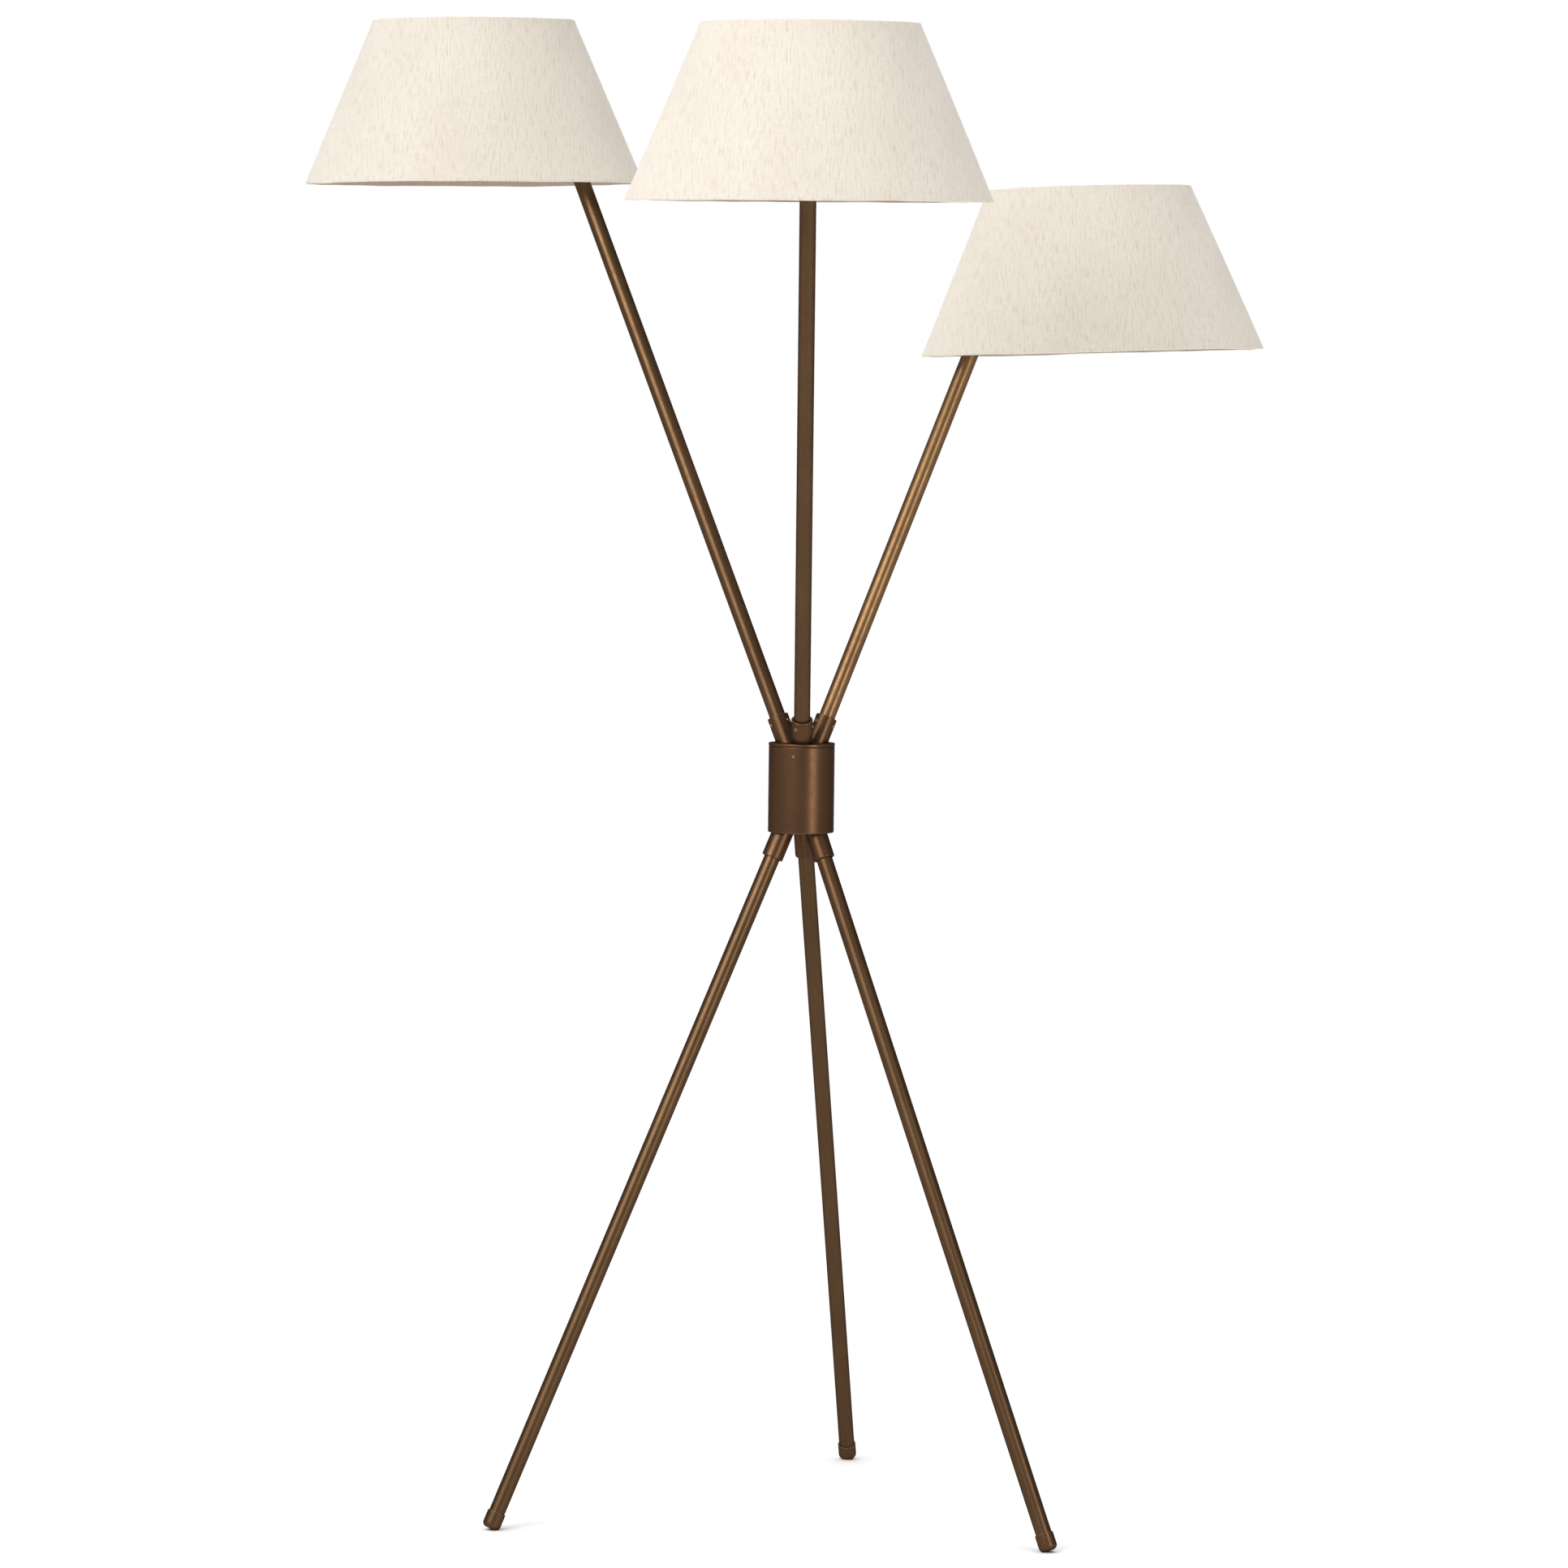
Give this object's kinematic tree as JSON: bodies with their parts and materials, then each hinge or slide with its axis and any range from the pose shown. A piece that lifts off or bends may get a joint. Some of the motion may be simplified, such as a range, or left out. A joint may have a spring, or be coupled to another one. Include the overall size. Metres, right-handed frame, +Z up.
{
  "type": "tripod floor lamp",
  "caption": "Floor lamp: a round hub on splayed tube legs, with splayed tube arms that each carry a tilting lamp holder and a linen empire shade.",
  "frame": {"origin": "on the floor, under the middle of the lamp's bounding box", "axes": "+Z up; the front arm points along -Y, the left arm towards -X and +Y, the right arm towards +X and +Y"},
  "size_m": [1.1572, 1.1436, 1.7735],
  "materials": {
    "bronze": "satin",
    "plated": "polished",
    "brass": "satin",
    "wire": "satin",
    "linen": "matte",
    "glass": "satin",
    "phenolic": "satin",
    "ceramic": "satin"
  },
  "bodies": {
    "stand": {"hub_body": "bronze", "hub_cap": "bronze", "hub_cap_screw": "plated", "leg_collar_left": "bronze", "leg_left": "bronze", "foot_left": "bronze", "leg_collar_right": "bronze", "leg_right": "bronze", "foot_right": "bronze", "leg_collar_rear": "bronze", "leg_rear": "bronze", "foot_rear": "bronze", "terminal_block": "ceramic", "cord_bushing": "phenolic", "arm_collar_left": "bronze", "arm_set_screw_left_1": "plated", "arm_set_screw_left_2": "plated", "arm_set_screw_left_3": "plated", "arm_collar_front": "bronze", "arm_set_screw_front_1": "plated", "arm_set_screw_front_2": "plated", "arm_set_screw_front_3": "plated", "arm_collar_right": "bronze", "arm_set_screw_right_1": "plated", "arm_set_screw_right_2": "plated", "arm_set_screw_right_3": "plated"},
    "left_arm": {"arm_left": "bronze"},
    "left_head": {"knuckle_left": "bronze", "link_left": "bronze", "socket_cap_left": "brass", "socket_shell_left": "phenolic", "socket_ring_left": "phenolic", "bulb_left": "glass", "shade_frame_left": "wire", "shade_left": "linen"},
    "left_thumb_screw": {"knuckle_screw_left": "brass"},
    "left_switch": {"switch_knob_left": "phenolic"},
    "front_arm": {"arm_front": "bronze"},
    "front_head": {"knuckle_front": "bronze", "link_front": "bronze", "socket_cap_front": "brass", "socket_shell_front": "phenolic", "socket_ring_front": "phenolic", "bulb_front": "glass", "shade_frame_front": "wire", "shade_front": "linen"},
    "front_thumb_screw": {"knuckle_screw_front": "brass"},
    "front_switch": {"switch_knob_front": "phenolic"},
    "right_arm": {"arm_right": "bronze"},
    "right_head": {"knuckle_right": "bronze", "link_right": "bronze", "socket_cap_right": "brass", "socket_shell_right": "phenolic", "socket_ring_right": "phenolic", "bulb_right": "glass", "shade_frame_right": "wire", "shade_right": "linen"},
    "right_thumb_screw": {"knuckle_screw_right": "brass"},
    "right_switch": {"switch_knob_right": "phenolic"}
  },
  "joints": [
    {"name": "left_arm_turn", "type": "hinge", "parent": "stand", "child": "left_arm", "pos_m": [0.03058, 0.09516, 0.8718], "axis": [-0.3494, 0.2321, 0.9078], "range_deg": [-59, 61]},
    {"name": "left_shade_tilt", "type": "hinge", "parent": "left_arm", "child": "left_head", "pos_m": [-0.24752, 0.27993, 1.59439], "axis": [-0.5665, -0.824, -0.0073], "range_deg": [-25.6, 29.4]},
    {"name": "left_thumb_screw_turn", "type": "hinge", "parent": "left_head", "child": "left_thumb_screw", "pos_m": [-0.24752, 0.27993, 1.59439], "axis": [-0.5665, -0.824, -0.0073], "range_deg": [0, 270]},
    {"name": "left_switch_turn", "type": "hinge", "parent": "left_head", "child": "left_switch", "pos_m": [-0.37455, 0.36683, 1.64279], "axis": [-0.824, 0.5666, -0.0104], "continuous": true},
    {"name": "front_arm_turn", "type": "hinge", "parent": "stand", "child": "front_arm", "pos_m": [0.03058, 0.09516, 0.8718], "axis": [-0.0014, -0.4051, 0.9143], "range_deg": [-60.6, 59.4]},
    {"name": "front_shade_tilt", "type": "hinge", "parent": "front_arm", "child": "front_head", "pos_m": [0.02951, -0.21355, 1.56846], "axis": [1, 0.0061, 0.0042], "range_deg": [-25.5, 29.5]},
    {"name": "front_thumb_screw_turn", "type": "hinge", "parent": "front_head", "child": "front_thumb_screw", "pos_m": [0.02951, -0.21355, 1.56846], "axis": [1, 0.0061, 0.0042], "range_deg": [0, 270]},
    {"name": "front_switch_turn", "type": "hinge", "parent": "front_head", "child": "front_switch", "pos_m": [0.03023, -0.36738, 1.61712], "axis": [0.0061, -0.9999, -0.0087], "continuous": true},
    {"name": "right_arm_turn", "type": "hinge", "parent": "stand", "child": "right_arm", "pos_m": [0.03058, 0.09516, 0.8718], "axis": [0.3553, 0.181, 0.9171], "range_deg": [-56, 64]},
    {"name": "right_shade_tilt", "type": "hinge", "parent": "right_arm", "child": "right_head", "pos_m": [0.23274, 0.19817, 1.39361], "axis": [-0.3959, 0.9179, -0.0278], "range_deg": [-23.5, 31.5]},
    {"name": "right_thumb_screw_turn", "type": "hinge", "parent": "right_head", "child": "right_thumb_screw", "pos_m": [0.23274, 0.19817, 1.39361], "axis": [-0.3959, 0.9179, -0.0278], "range_deg": [0, 270]},
    {"name": "right_switch_turn", "type": "hinge", "parent": "right_head", "child": "right_switch", "pos_m": [0.37171, 0.25975, 1.44772], "axis": [0.9176, 0.3966, 0.0271], "continuous": true}
  ]
}
